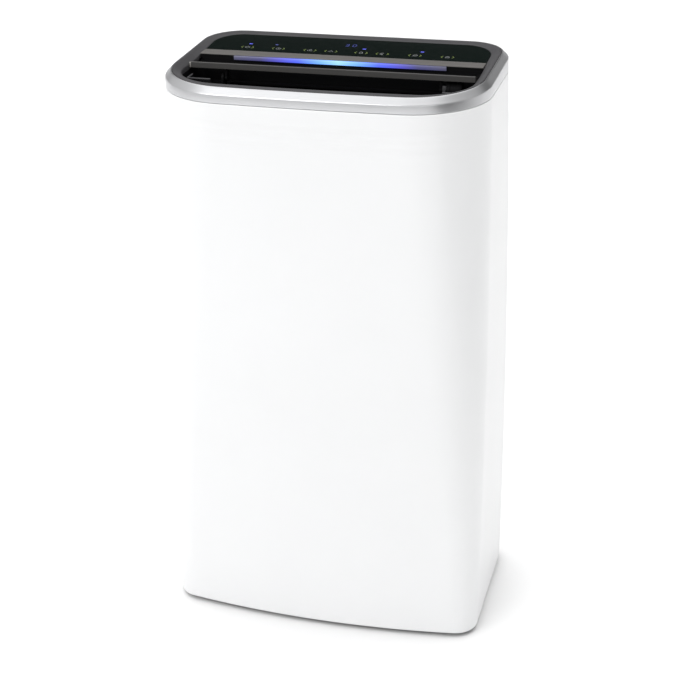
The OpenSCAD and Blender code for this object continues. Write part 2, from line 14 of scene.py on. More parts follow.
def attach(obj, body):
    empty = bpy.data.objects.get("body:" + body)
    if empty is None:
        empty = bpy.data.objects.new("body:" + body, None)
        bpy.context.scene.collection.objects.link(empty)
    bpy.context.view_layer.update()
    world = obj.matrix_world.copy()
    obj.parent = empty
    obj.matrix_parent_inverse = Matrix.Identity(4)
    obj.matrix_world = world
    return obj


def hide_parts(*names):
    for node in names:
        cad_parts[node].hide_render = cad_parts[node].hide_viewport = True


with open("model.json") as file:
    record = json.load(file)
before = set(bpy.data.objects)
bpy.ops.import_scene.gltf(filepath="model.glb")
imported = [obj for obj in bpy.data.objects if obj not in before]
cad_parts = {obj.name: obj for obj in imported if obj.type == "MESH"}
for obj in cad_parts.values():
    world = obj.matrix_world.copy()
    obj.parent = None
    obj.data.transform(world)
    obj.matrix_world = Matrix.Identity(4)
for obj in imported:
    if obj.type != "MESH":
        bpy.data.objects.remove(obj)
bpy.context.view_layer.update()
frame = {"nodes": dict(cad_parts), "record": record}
MM = 0.001

# --- driving sizes, repeated from the CAD source, in millimetres ---
BODY_W = 340.0
BODY_D = 217.0
SHELL_H = 601.0
FLOOR_GAP = 5.0
WALL = 2.5
SEAM_Y = 76.0
SEAM_GAP = 0.25
FLARE = 5.8
SWELL = 3.4
TOE = 3.9
REAR_R = 45.6
REAR_Y = BODY_D / 2
FRONT_SAG = (6.5, 9.0)      # bow of the front at the top, and what the foot adds
FRONT_R = (80.0, -54.0)     # radius of the front corners, in the same way
OPEN_W = 152.5              # half width of the outlet opening
OPEN_FRONT = -84.5
OPEN_REAR = 16.0
OPEN_SAG = 6.0
OPEN_R = (52.0, 6.0)        # its front and rear corners
LIGHT_W = 228.0
KEY_X = (-109, -74.5, -39.5, -16.5, 16.5, 39.5, 74.5, 109)
KEY_Y = 46.5
LAMPS = ((-108.7, 57.4), (17.1, 58.4), (79.8, 58.4))
BAR_REAR = 34.0             # rear edge of the crossbar, where the glass starts
GLASS_IN = 21.2             # how far the glass stays inside the outline at the rear
GLASS_W = 152.0             # its half width
GLASS_R = 30.0              # its rear corners
GLASS_TOP = 616.5           # before the console's rise
BEND = (6.0, 30.0)          # y where the console starts to rise and where it has its full slope
SLOPE = 0.085
RIM_SLOPE = 0.0345          # the rim itself tilts evenly from front to rear
RIM_FRONT = -112.0          # and starts here
SKIN_IN = 0.03              # the cover skins stay this far inside the CAD outline

# points on an outline: front arc, front corner, straight side, half the rear edge, rear corner
ARC_N, FILLET_N, SIDE_N, BACK_N, REAR_N = 14, 20, 16, 8, 14
CORNER_N = 5                # steps on the corner of a rounded rectangle


# --- small helpers ---
def smooth(t):
    t = min(max(t, 0.0), 1.0)
    return t * t * (3 - 2 * t)


def lerp(a, b, t):
    return a + (b - a) * t


def lift(y):
    """How much the console rises at y."""
    y0, y1 = BEND
    if y < y0:
        return 0.0
    if y < y1:
        return SLOPE * (y - y0) ** 2 / (2 * (y1 - y0))
    return SLOPE * (y - (y0 + y1) / 2)


def rim(y):
    """How much the silver rim rises at y."""
    return RIM_SLOPE * (y - RIM_FRONT)


def add(name, data):
    """An object with that data in the scene."""
    obj = bpy.data.objects.new(name, data)
    bpy.context.scene.collection.objects.link(obj)
    return obj


def new_object(name, verts, faces, scale=MM):
    """A mesh object, from millimetre vertices unless scale is 1."""
    mesh = bpy.data.meshes.new(name)
    mesh.from_pydata([tuple(c * scale for c in v) for v in verts], [], faces)
    mesh.validate()
    return add(name, mesh)


def apply_modifiers(obj):
    bpy.context.view_layer.update()
    deps = bpy.context.evaluated_depsgraph_get()
    mesh = bpy.data.meshes.new_from_object(obj.evaluated_get(deps))
    obj.modifiers.clear()
    obj.data = mesh


def shade(obj, angle):
    """Smooth shading, with edges sharper than angle left crisp."""
    for poly in obj.data.polygons:
        poly.use_smooth = True
    obj.data.set_sharp_from_angle(angle=math.radians(angle))


def finish_piece(obj, body, slot, *nodes, look=None, angle=35):
    """Material, smooth shading, the body it rides on and the CAD nodes it stands for.

    The material is the slot's own unless look names another.
    """
    obj.data.materials.clear()
    obj.data.materials.append(M[look or slot])
    shade(obj, angle)
    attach(obj, body)
    if nodes:
        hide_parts(*nodes)


def bevel(obj, width, segments):
    """Bevels every edge sharper than 30 degrees."""
    mod = obj.modifiers.new("bevel", "BEVEL")
    mod.width = width * MM
    mod.segments = segments
    mod.limit_method = "ANGLE"
    mod.angle_limit = math.radians(30)
    mod.harden_normals = False
    mod.use_clamp_overlap = True
    apply_modifiers(obj)


# --- the shell's outlines, as in the CAD ---
def front_half(hw, yf, sag, r, inset):
    """Right half of a bowed front with round corners: half width, front y, bow, radius."""
    big = (hw * hw + sag * sag) / (2 * sag)
    cy = yf + big
    cx = hw - r
    fy = cy - math.sqrt((big - r) ** 2 - cx**2)
    a = math.atan2(fy - cy, cx)
    pts = []
    for k in range(ARC_N):
        t = lerp(-math.pi / 2, a, k / ARC_N)
        pts.append(((big - inset) * math.cos(t), cy + (big - inset) * math.sin(t)))
    for k in range(FILLET_N + 1):
        t = a * (1 - k / FILLET_N)
        pts.append((cx + (r - inset) * math.cos(t), fy + (r - inset) * math.sin(t)))
    return pts


def rear_half(hw, yr, r, inset, n=REAR_N):
    """The right rear corner, from the side to the rear edge."""
    return [
        (
            hw - r + (r - inset) * math.cos(math.pi / 2 * k / n),
            yr - r + (r - inset) * math.sin(math.pi / 2 * k / n),
        )
        for k in range(n + 1)
    ]


def closed(front, rear):
    """Right half front + rear corner, mirrored into a closed loop."""
    a, b = front[-1], rear[0]
    side = [(lerp(a[0], b[0], k / SIDE_N), lerp(a[1], b[1], k / SIDE_N)) for k in range(1, SIDE_N)]
    end = rear[-1]
    back = [(lerp(end[0], 0, k / BACK_N), end[1]) for k in range(1, BACK_N)]
    half = front + side + rear + back
    left = [(-x, y) for x, y in reversed(half[1:])]
    return half + [(0.0, end[1])] + left


def share_of_height(z):
    return min(max(z / SHELL_H, 0.0), 1.0)


def half_width(z):
    t = share_of_height(z)
    return BODY_W / 2 + FLARE * (1 - t) + 4 * SWELL * t * (1 - t)


def front_outline(z, inset):
    u = 1 - share_of_height(z)
    return front_half(half_width(z), -REAR_Y - TOE * u, FRONT_SAG[0] + FRONT_SAG[1] * u,
                      FRONT_R[0] + FRONT_R[1] * u, inset)


def section(z, inset):
    """The shell's closed outline at a height."""
    return closed(front_outline(z, inset), rear_half(half_width(z), REAR_Y, REAR_R, inset))


def front_path(z, inset):
    """Open path from the left seam round the front to the right seam."""
    cx, cy = half_width(z) - REAR_R, REAR_Y - REAR_R
    half = front_outline(z, inset)
    end = half[-1]
    x = half_width(z) - inset
    half += [(x, lerp(end[1], cy, k / 6)) for k in range(1, 7)]
    r = REAR_R - inset
    t1 = math.asin((SEAM_Y - cy) / r)
    half += [(cx + r * math.cos(t1 * k / 3), cy + r * math.sin(t1 * k / 3)) for k in range(1, 4)]
    return [(-px, py) for px, py in reversed(half[1:])] + half


def rear_path(z, inset):
    """Open path from the right seam round the rear to the left seam."""
    cx, cy = half_width(z) - REAR_R, REAR_Y - REAR_R
    r = REAR_R - inset
    t0 = math.asin((SEAM_Y + SEAM_GAP - cy) / r)
    half = []
    for k in range(REAR_N + 1):
        t = lerp(t0, math.pi / 2, k / REAR_N)
        half.append((cx + r * math.cos(t), cy + r * math.sin(t)))
    flat = [(lerp(half[-1][0], -half[-1][0], k / 16), half[-1][1]) for k in range(1, 16)]
    return half + flat + [(-px, py) for px, py in reversed(half)]


def opening(inset):
    """The outlet opening in the top; a positive inset makes it smaller."""
    return closed(front_half(OPEN_W, OPEN_FRONT, OPEN_SAG, OPEN_R[0], inset),
                  rear_half(OPEN_W, OPEN_REAR, OPEN_R[1], inset))


def loop(pts, z):
    return [(x, y, z) for x, y in pts]


def raised(pts, z, share=1.0, rise=lift):
    """The outline at z plus a share of the rise at each point."""
    return [(x, y, z + share * rise(y)) for x, y in pts]


def drape(obj):
    """Lays a flat piece on the sloping console."""
    for v in obj.data.vertices:
        v.co.z += lift(v.co.y / MM) * MM
    return obj


def tidy_normals(obj):
    """Turns every face outwards."""
    bm = bmesh.new()
    bm.from_mesh(obj.data)
    bmesh.ops.recalc_face_normals(bm, faces=bm.faces)
    bm.to_mesh(obj.data)
    bm.free()
    return obj


def from_rows(name, rows, faces):
    return tidy_normals(new_object(name, [p for row in rows for p in row], faces))


def skin(name, rows):
    """One solid through rows of points that close both ways, like a tyre."""
    n, m = len(rows[0]), len(rows)
    return from_rows(name, rows, [
        (r * n + j, r * n + (j + 1) % n, (r + 1) % m * n + (j + 1) % n, (r + 1) % m * n + j)
        for r in range(m) for j in range(n)])


def seam_skin(name, rows, turn):
    """One solid through open rows, capped at both seams; turn is 1 or -1, how caps are wound."""
    n, m = len(rows[0]), len(rows)
    faces = [(r * n + j, r * n + j + 1, (r + 1) % m * n + j + 1, (r + 1) % m * n + j)
             for r in range(m) for j in range(n - 1)]
    faces += [tuple(range(0, m * n, n))[::turn], tuple(range(n - 1, m * n, n))[::-turn]]
    return from_rows(name, rows, faces)


def prism(name, pts, z0, z1):
    """A flat plate with the outline pts."""
    n = len(pts)
    faces = [tuple(reversed(range(n))), tuple(range(n, 2 * n))]
    faces += [(k, (k + 1) % n, n + (k + 1) % n, n + k) for k in range(n)]
    return new_object(name, loop(pts, z0) + loop(pts, z1), faces)


def bar_x(name, profile, x0, x1, steps=1):
    """A (y, z) profile swept along X."""
    n = len(profile)
    verts = [(lerp(x0, x1, s / steps), y, z) for s in range(steps + 1) for y, z in profile]
    faces = [tuple(reversed(range(n))), tuple(range(steps * n, (steps + 1) * n))]
    for s in range(steps):
        faces += [(s * n + k, s * n + (k + 1) % n, (s + 1) * n + (k + 1) % n, (s + 1) * n + k)
                  for k in range(n)]
    return tidy_normals(new_object(name, verts, faces))


def loft(name, rows):
    """Closed solid through rows of the same number of points, flat at both ends."""
    n, m = len(rows[0]), len(rows)
    faces = [tuple(range(n)), tuple(range((m - 1) * n, m * n))]
    for r in range(m - 1):
        faces += [(r * n + j, r * n + (j + 1) % n, (r + 1) * n + (j + 1) % n, (r + 1) * n + j)
                  for j in range(n)]
    return from_rows(name, rows, faces)


# a rectangle is (u0, u1, v0, v1)
def grow(rect, d):
    return (rect[0] - d, rect[1] + d, rect[2] - d, rect[3] + d)


def about(centre, w, h):
    """The rectangle of that half width and half height about a point."""
    return (centre[0] - w, centre[0] + w, centre[1] - h, centre[1] + h)


def rounded(rect, r):
    """Corner-rounded rectangle."""
    u0, u1, v0, v1 = rect
    pts = []
    corners = ((u1 - r, v1 - r, 0), (u0 + r, v1 - r, 90), (u0 + r, v0 + r, 180),
               (u1 - r, v0 + r, 270))
    for cu, cv, start in corners:
        for k in range(CORNER_N + 1):
            a = math.radians(start + 90 * k / CORNER_N)
            pts.append((cu + r * math.cos(a), cv + r * math.sin(a)))
    return pts


# from (u, v) and the place w on an axis to (x, y, z)
PLACE = {"x": lambda u, v, w: (w, u, v), "y": lambda u, v, w: (u, w, v),
         "z": lambda u, v, w: (u, v, w)}


def stepped(name, axis, rows):
    """Loft through rounded rectangles, each (rect, radius, place on the axis)."""
    return loft(name, [[PLACE[axis](u, v, w) for u, v in rounded(rect, r)]
                       for rect, r, w in rows])


def slab(name, axis, rect, r, steps):
    """Rounded-rectangle slab along an axis; steps are (place on the axis, inset)."""
    return stepped(name, axis, [(grow(rect, -i), max(r - i, 0.15), w) for w, i in steps])


def soft_slab(name, axis, rect, r, w0, w1, edge):
    """A slab whose edges are rounded over by about the edge radius."""
    near = 0.3 * edge
    return slab(name, axis, rect, r, [(w0, edge), (w0 + near, near), (w0 + edge, 0),
                                      (w1 - edge, 0), (w1 - near, near), (w1, edge)])


def revolve(name, axis, centre, profile, n=48, wave=0.0, waves=0):
    """(radius, place on the axis) rows turned round an axis; a wave ripples the radius."""
    cu, cv = centre
    rows = []
    for radius, w in profile:
        row = []
        for k in range(n):
            a = 2 * math.pi * k / n
            q = radius + wave * math.cos(waves * a)
            row.append(PLACE[axis](cu + q * math.cos(a), cv + q * math.sin(a), w))
        rows.append(row)
    return loft(name, rows)


def wheel_part(name, x, centre, half, n=48):
    """A closed profile turned round the axle; half is (radius, distance from the plane x)."""
    cy, cz = centre
    profile = [(r, x - w) for r, w in half] + [(r, x + w) for r, w in reversed(half)]
    turn = [2 * math.pi * k / n for k in range(n)]
    return skin(name, [[(w, cy + r * math.cos(a), cz + r * math.sin(a)) for a in turn]
                       for r, w in profile])


def block(name, lo, hi, edge=0.0):
    """A box between two corners, its edges rounded if edge is given."""
    (x0, y0, z0), (x1, y1, z1) = lo, hi
    if edge:
        return soft_slab(name, "z", (x0, x1, y0, y1), edge, z0, z1, edge)
    return prism(name, [(x0, y0), (x1, y0), (x1, y1), (x0, y1)], z0, z1)


def join(name, objs):
    """One object from several solids."""
    bm = bmesh.new()
    for o in objs:
        bm.from_mesh(o.data)
    mesh = bpy.data.meshes.new(name)
    bm.to_mesh(mesh)
    bm.free()
    for o in objs:
        bpy.data.objects.remove(o)
    return add(name, mesh)


def cut(obj, cutters):
    """Takes the cutters' volume away from a solid."""
    for c in cutters:
        mod = obj.modifiers.new("cut", "BOOLEAN")
        mod.operation = "DIFFERENCE"
        mod.solver = "EXACT"
        mod.object = c
    apply_modifiers(obj)
    for c in cutters:
        bpy.data.objects.remove(c)


# --- materials ---
def map_range(tree, value, src, dst=(0.0, 1.0)):
    """An output that goes over dst while value goes over src."""
    node = tree.nodes.new("ShaderNodeMapRange")
    for key, number in zip(("From Min", "From Max", "To Min", "To Max"), (*src, *dst)):
        node.inputs[key].default_value = number
    tree.links.new(value, node.inputs["Value"])
    return node.outputs["Result"]


def along(tree, vector, axis):
    """One component of a vector."""
    node = tree.nodes.new("ShaderNodeSeparateXYZ")
    tree.links.new(vector, node.inputs["Vector"])
    return node.outputs[axis]


class Mat:
    """A Principled material with helpers for fine procedural detail."""

    def __init__(self, name, color, rough, **sockets):
        self.mat = bpy.data.materials.new(name)
        self.mat.use_nodes = True
        self.tree = self.mat.node_tree
        self.nodes, self.links = self.tree.nodes, self.tree.links
        self.bsdf = self.nodes["Principled BSDF"]
        self.bsdf.inputs["Base Color"].default_value = (*color, 1)
        self.bsdf.inputs["Roughness"].default_value = rough
        for key, value in sockets.items():
            self.bsdf.inputs[key.replace("_", " ")].default_value = value
        self.height = None

    def coords(self, scale=(1, 1, 1)):
        coord = self.nodes.new("ShaderNodeTexCoord")
        mapping = self.nodes.new("ShaderNodeMapping")
        mapping.inputs["Scale"].default_value = scale
        self.links.new(coord.outputs["Object"], mapping.inputs["Vector"])
        return mapping.outputs["Vector"]

    def noise(self, scale, detail=2.0, rough=0.5, stretch=(1, 1, 1)):
        node = self.nodes.new("ShaderNodeTexNoise")
        node.inputs["Scale"].default_value = scale
        node.inputs["Detail"].default_value = detail
        node.inputs["Roughness"].default_value = rough
        self.links.new(self.coords(stretch), node.inputs["Vector"])
        return node.outputs["Fac"]

    def bump(self, height, strength, distance):
        node = self.nodes.new("ShaderNodeBump")
        node.inputs["Strength"].default_value = strength
        node.inputs["Distance"].default_value = distance
        self.links.new(height, node.inputs["Height"])
        if self.height is not None:
            self.links.new(self.height, node.inputs["Normal"])
        self.height = node.outputs["Normal"]
        self.links.new(self.height, self.bsdf.inputs["Normal"])

    def vary(self, socket, fac, low, high):
        """Socket runs from low to high as fac goes 0.3 to 0.7."""
        result = map_range(self.tree, fac, (0.3, 0.7), (low, high))
        self.links.new(result, self.bsdf.inputs[socket])

    def tint(self, fac, low, high):
        """Base colour from low to high."""
        mix = self.nodes.new("ShaderNodeMix")
        mix.data_type = "RGBA"
        mix.inputs["A"].default_value = (*low, 1)
        mix.inputs["B"].default_value = (*high, 1)
        self.links.new(fac, mix.inputs["Factor"])
        self.links.new(mix.outputs["Result"], self.bsdf.inputs["Base Color"])


def plastic(name, color, rough, grain=900.0, strength=0.25, spread=0.06, **sockets):
    """Moulded plastic: spark-eroded grain and slightly uneven gloss."""
    m = Mat(name, color, rough, **sockets)
    m.bump(m.noise(grain, 3.0, 0.6), strength, 0.00006)
    m.vary("Roughness", m.noise(14.0, 3.0), rough - spread / 2, rough + spread / 2)
    dark = tuple(c * 0.94 for c in color)
    m.tint(m.noise(5.0, 2.0), dark, color)
    return m.mat


def metal(name, color, rough, stretch=(1, 1, 1), grain=260.0, strength=0.15, spread=0.12):
    """Metal with a fine grain, drawn out along an axis by stretch, and uneven gloss."""
    m = Mat(name, color, rough, Metallic=1.0)
    m.bump(m.noise(grain, 4.0, 0.6, stretch), strength, 0.00005)
    m.vary("Roughness", m.noise(60.0, 3.0, 0.6, stretch), rough - spread / 2, rough + spread / 2)
    m.tint(m.noise(18.0, 3.0), tuple(c * 0.86 for c in color), color)
    return m.mat


def glow(name, color, strength):
    """A small lamp, a little uneven behind its diffuser."""
    m = Mat(name, (0.02, 0.02, 0.03), 0.3)
    m.bsdf.inputs["Emission Color"].default_value = (*color, 1)
    m.vary("Emission Strength", m.noise(700.0, 2.0), strength * 0.8, strength * 1.2)
    return m.mat


M = {
    # by slot
    "shell_white": plastic("white_abs", (0.9, 0.905, 0.91), 0.32, grain=700.0, strength=0.06,
                           spread=0.05, Coat_Weight=0.25, Coat_Roughness=0.12),
    "silver_trim": metal("silver_band", (0.78, 0.785, 0.8), 0.34, (1, 1, 6), 120.0, 0.01, 0.02),
    "dark_plastic": plastic("dark_satin", (0.05, 0.049, 0.052), 0.4, grain=800.0, strength=0.12,
                            Specular_IOR_Level=0.22),
    "black_plastic": plastic("black_texture", (0.012, 0.012, 0.013), 0.5, grain=700.0,
                             strength=0.3, Specular_IOR_Level=0.3),
    "black_gloss": Mat("black_glass", (0.002, 0.005, 0.004), 0.08, Specular_IOR_Level=0.3).mat,
    "steel": metal("zinc_steel", (0.66, 0.67, 0.68), 0.3),
    "zinc": metal("galvanised", (0.6, 0.61, 0.62), 0.42, grain=120.0, strength=0.2, spread=0.2),
    "fin_aluminium": metal("fin_aluminium", (0.8, 0.82, 0.84), 0.32),
    "copper": metal("copper_tube", (0.8, 0.42, 0.25), 0.3),
    "black_paint": plastic("black_enamel", (0.014, 0.014, 0.015), 0.28, grain=220.0),
    "black_rubber": plastic("black_rubber", (0.022, 0.022, 0.022), 0.75, grain=500.0, strength=0.4),
    "circuit_board": plastic("green_board", (0.02, 0.14, 0.06), 0.35, grain=300.0, strength=0.2),
    "white_foam": plastic("white_foam", (0.82, 0.82, 0.79), 0.8, grain=420.0, strength=0.8),
    "carbon_foam": plastic("carbon_foam", (0.018, 0.018, 0.018), 0.9, grain=260.0, strength=1.0),
    "mesh_fabric": plastic("nylon_net", (0.04, 0.04, 0.045), 0.6, strength=0.5),
    # looks that only some pieces have
    "crossbar": plastic("dark_bar", (0.095, 0.09, 0.085), 0.4, grain=800.0, strength=0.12,
                        Specular_IOR_Level=0.4),
    # painted highlight: a light grey for the louver's left end, where the light falls on it
    "cap": plastic("louver_end_painted_highlight", (0.3, 0.29, 0.27), 0.4, grain=800.0),
    "louver": plastic("louver_plastic", (0.05, 0.048, 0.046), 0.42, grain=800.0, strength=0.12),
    # painted shade: a near-black with little gloss for the outlet's inside and the parts in it
    "shaded_throat": plastic("throat_painted_shade", (0.004, 0.004, 0.0045), 0.6, grain=700.0,
                      Specular_IOR_Level=0.12),
    "bracket": plastic("bracket_plastic", (0.055, 0.055, 0.058), 0.4, grain=800.0),
    "print_green": plastic("key_bracket_print", (0.1, 0.14, 0.02), 0.5, grain=500.0),
    "print_grey": plastic("key_mark_print", (0.16, 0.17, 0.17), 0.5, grain=500.0),
    "lamp": glow("lamp_blue", (0.1, 0.12, 1.0), 0.9),
    "lamp_dim": glow("lamp_blue_dim", (0.12, 0.16, 0.8), 0.5),
}


def tank_material():
    m = Mat("tank_clear", (0.62, 0.7, 0.76), 0.22, Transmission_Weight=0.55, IOR=1.45)
    m.bump(m.noise(300.0, 3.0), 0.1, 0.00008)
    m.vary("Roughness", m.noise(12.0, 3.0), 0.18, 0.3)
    return m.mat


def window_material():
    m = Mat("level_window", (0.16, 0.24, 0.3), 0.12, Coat_Weight=0.4)
    m.bump(m.noise(260.0, 2.0), 0.08, 0.00006)
    m.tint(m.noise(20.0, 2.0), (0.13, 0.2, 0.26), (0.18, 0.27, 0.33))
    return m.mat


LIGHT_BAR_GLOW = 1.3
# (share of the way from the middle to an end, colour)
LIGHT_BAR_STOPS = (
    (0.0, (0.3, 0.62, 1.0)), (0.18, (0.14, 0.38, 1.0)), (0.38, (0.06, 0.11, 0.8)),
    (0.56, (0.06, 0.06, 0.5)), (0.74, (0.035, 0.035, 0.13)), (1.0, (0.04, 0.04, 0.075)),
)


def light_bar_material():
    """Light blue in the middle, deep blue outwards, dim violet-grey at the ends."""
    m = Mat("light_bar", (0.07, 0.07, 0.1), 0.35, Coat_Weight=0.3)
    away = m.nodes.new("ShaderNodeMath")
    away.operation = "ABSOLUTE"
    m.links.new(along(m.tree, m.coords(), "X"), away.inputs[0])
    reach = map_range(m.tree, away.outputs[0], (0.0, LIGHT_W / 2 * MM))
    ramp = m.nodes.new("ShaderNodeValToRGB")
    ramp.color_ramp.elements[0].position = LIGHT_BAR_STOPS[0][0]
    ramp.color_ramp.elements[1].position = LIGHT_BAR_STOPS[-1][0]
    for pos, _ in LIGHT_BAR_STOPS[1:-1]:
        ramp.color_ramp.elements.new(pos)
    for element, (_, color) in zip(ramp.color_ramp.elements, LIGHT_BAR_STOPS):
        element.color = (*color, 1)
    m.links.new(reach, ramp.inputs["Fac"])
    m.links.new(ramp.outputs["Color"], m.bsdf.inputs["Emission Color"])
    m.bsdf.inputs["Emission Strength"].default_value = LIGHT_BAR_GLOW
    return m.mat


M["tank_plastic"] = tank_material()
M["window"] = window_material()
M["light_bar"] = light_bar_material()


# --- materials of the CAD nodes that stay ---
slot_of = {s["node"]: s["material_slot"] for s in frame["record"]["subparts"]}
# the outlet duct and grille inside the opening get the near-black painted shade
OWN_LOOK = {"outlet_duct": "shaded_throat", "outlet_grille": "shaded_throat"}
for name, obj in frame["nodes"].items():
    obj.data.materials.clear()
    obj.data.materials.append(M[OWN_LOOK.get(name, slot_of[name])])
    shade(obj, 30)


# --- camera, light and floor ---
CAMERA_ANGLES = (15.81, 25.14, -1.15)      # azimuth, pitch down and roll, in degrees
CAMERA_PLACE = (0.414, -1.4608, 1.0176)
LENS, SENSOR = 79.63, 36.0

# name: place, aim, size and power of each panel
PANELS = {
    "key": ((-1.0, -1.7, 1.9), (0, 0, 0.6), (1.4, 1.4), 20),
    "fill": ((1.5, -2.6, 1.4), (0, 0, 0.3), (1.8, 1.4), 5),
    "back": ((-2.0, 3.9, 2.4), (-2.0, 4.2, 0), (4.6, 3.0), 90),
    "top": ((-0.3, 0.4, 2.6), (-0.3, 0, 0), (2.8, 3.0), 50),
    # just under the top panel and dimmer: what the silver band reflects
    "sheen": ((-0.3, 0.4, 2.5), (-0.3, 0, 0), (2.8, 3.0), 17),
    "side_floor": ((0.95, 0.1, 1.3), (0.75, 0.05, 0), (0.7, 0.9), 3),
}
WORLD_FALL = ((-0.6, 0.8), (0.62, 0.43))   # strength over X: darker on the object's right
FLAG_FALL = (-0.75, 0.9)                   # y from and to, where a flag goes to its own grey
FLAG_BLACK = (0.02, 0.02, 0.02)


def set_camera():
    azimuth, pitch, roll = (math.radians(a) for a in CAMERA_ANGLES)
    forward = Vector((-math.sin(azimuth) * math.cos(pitch), math.cos(azimuth) * math.cos(pitch),
                      -math.sin(pitch)))
    right = Vector((math.cos(azimuth), math.sin(azimuth), 0))
    up = right.cross(forward)
    right, up = (right * math.cos(roll) + up * math.sin(roll),
                 up * math.cos(roll) - right * math.sin(roll))
    data = bpy.data.cameras.new("camera")
    data.sensor_width = SENSOR
    data.lens = LENS
    cam = add("camera", data)
    turn = Matrix((right, up, -forward)).transposed().to_4x4()
    cam.matrix_world = Matrix.Translation(CAMERA_PLACE) @ turn
    bpy.context.scene.camera = cam


def area(name, place, aim, size, power):
    data = bpy.data.lights.new(name, "AREA")
    data.shape = "RECTANGLE"
    data.size, data.size_y = size
    data.energy = power
    obj = add(name, data)
    obj.location = place
    obj.rotation_euler = (Vector(aim) - Vector(place)).to_track_quat("-Z", "Y").to_euler()
    return obj


def flag(name, corner, span, height, light):
    """An upright card, dark in front and lighter towards +Y, that only reflections see."""
    x, y, z = corner
    dx, dy = span
    card = new_object(name, [(x, y, z), (x + dx, y + dy, z), (x + dx, y + dy, z + height),
                             (x, y, z + height)], [(0, 1, 2, 3)], scale=1)
    cloth = Mat("flag_cloth", FLAG_BLACK, 0.9)
    fade = map_range(cloth.tree, along(cloth.tree, cloth.coords(), "Y"), FLAG_FALL)
    cloth.tint(fade, FLAG_BLACK, (light, light, light))
    card.data.materials.append(cloth.mat)
    for kind in ("camera", "diffuse", "transmission", "shadow", "volume_scatter"):
        setattr(card, "visible_" + kind, False)


def set_studio():
    world = bpy.data.worlds.new("studio")
    world.use_nodes = True
    tree = world.node_tree
    backdrop = tree.nodes["Background"].inputs
    backdrop["Color"].default_value = (1, 1, 1, 1)
    across = along(tree, tree.nodes.new("ShaderNodeTexCoord").outputs["Generated"], "X")
    tree.links.new(map_range(tree, across, *WORLD_FALL), backdrop["Strength"])
    bpy.context.scene.world = world
    panels = {name: area(name, *row) for name, row in PANELS.items()}
    for name in ("back", "top", "side_floor"):
        panels[name].visible_glossy = False
    panels["sheen"].visible_diffuse = False
    # cards that only reflections see: behind for the glass, at the right for the band
    flag("flag_back", (-3.2, 2.3, 1.15), (5.4, 0), 1.3, 0.02)
    flag("flag_right", (1.15, -1.15, 0.02), (0, 2.5), 0.75, 0.7)
    floor = new_object("floor", [(-9, -7, 0), (9, -7, 0), (9, 11, 0), (-9, 11, 0)],
                       [(0, 1, 2, 3)], scale=1)
    paper = Mat("floor_paper", (0.93, 0.93, 0.93), 0.65)
    paper.vary("Roughness", paper.noise(3.0), 0.6, 0.7)
    floor.data.materials.append(paper.mat)
    bpy.context.scene.view_settings.view_transform = "Standard"


set_camera()
set_studio()


# --- white covers ---
RIPPLES = (579.5, 571.5, 561.5)
RIPPLE_W = 3.0
RIPPLE_ZONE = (545, 595)     # z in which the front is rippled
FINE_ZONE = (550, 590)       # z in which its rows are close together
ROW_STEP, FINE_STEP = 9.0, 1.1


def ripple(x, y, z):
    """Depth of the three shallow moulded waves across the upper front."""
    if y >= 0 or not RIPPLE_ZONE[0] < z < RIPPLE_ZONE[1]:
        return 0.0
    fade = smooth((150 - abs(x)) / 36)
    depth = 0.0
    for k, zc in enumerate(RIPPLES):
        d = (z - zc - 0.9 * (x / 140) ** 2 * (1 - k)) / RIPPLE_W
        depth += math.exp(-d * d) * (0.9 - 0.14 * k)
    return depth * fade


def shell_levels(fine):
    """Heights and insets from the bottom edge's roll to the top edge's."""
    rows = [(FLOOR_GAP + h, i) for h, i in ((0, 1.5), (0.15, 0.9), (0.6, 0.35), (1.4, 0.05))]
    z = FLOOR_GAP + 3
    while z < SHELL_H - 1.8:
        rows.append((z, 0.0))
        z += FINE_STEP if fine and FINE_ZONE[0] < z < FINE_ZONE[1] else ROW_STEP
    return rows + [(SHELL_H - h, i) for h, i in ((1.5, 0.0), (0.7, 0.12), (0.25, 0.45))]


def make_front_cover():
    rows = [[(x, y + ripple(x, y, z), z) for x, y in front_path(z, inset + SKIN_IN)]
            for z, inset in shell_levels(True)]
    rows += [loop(front_path(z, WALL), z)
             for z in (SHELL_H - 0.25, 560, 480, 400, 300, 200, 100, FLOOR_GAP)]
    obj = seam_skin("front_cover_skin", rows, -1)
    finish_piece(obj, "housing", "shell_white", "front_cover")


# --- silver band ---
def make_trim():
    # (height above the shell, inset, share of the rise): band, crisp break, chamfer, lip
    profile = ((0.3, 0.9, 0), (0.35, 0.5, 0), (0.7, 0.25, 0), (1.4, 0.2, 0), (4.5, 0.22, 0.4),
               (7.9, 0.3, 1), (8.5, 0.4, 1), (9.0, 0.66, 1), (9.4, 1.1, 1), (11.8, 3.5, 1),
               (14.0, 5.6, 1), (14.55, 6.2, 1), (14.85, 6.7, 1), (14.9, 7.1, 1), (14.7, 7.3, 1),
               (13.2, 7.4, 1), (13.2, 12.5, 0.6), (0.3, 12.5, 0))
    rows = [raised(section(SHELL_H, inset), SHELL_H + h, share, rim)
            for h, inset, share in profile]
    obj = skin("silver_band", rows)
    finish_piece(obj, "housing", "silver_trim", "trim_ring", angle=28)


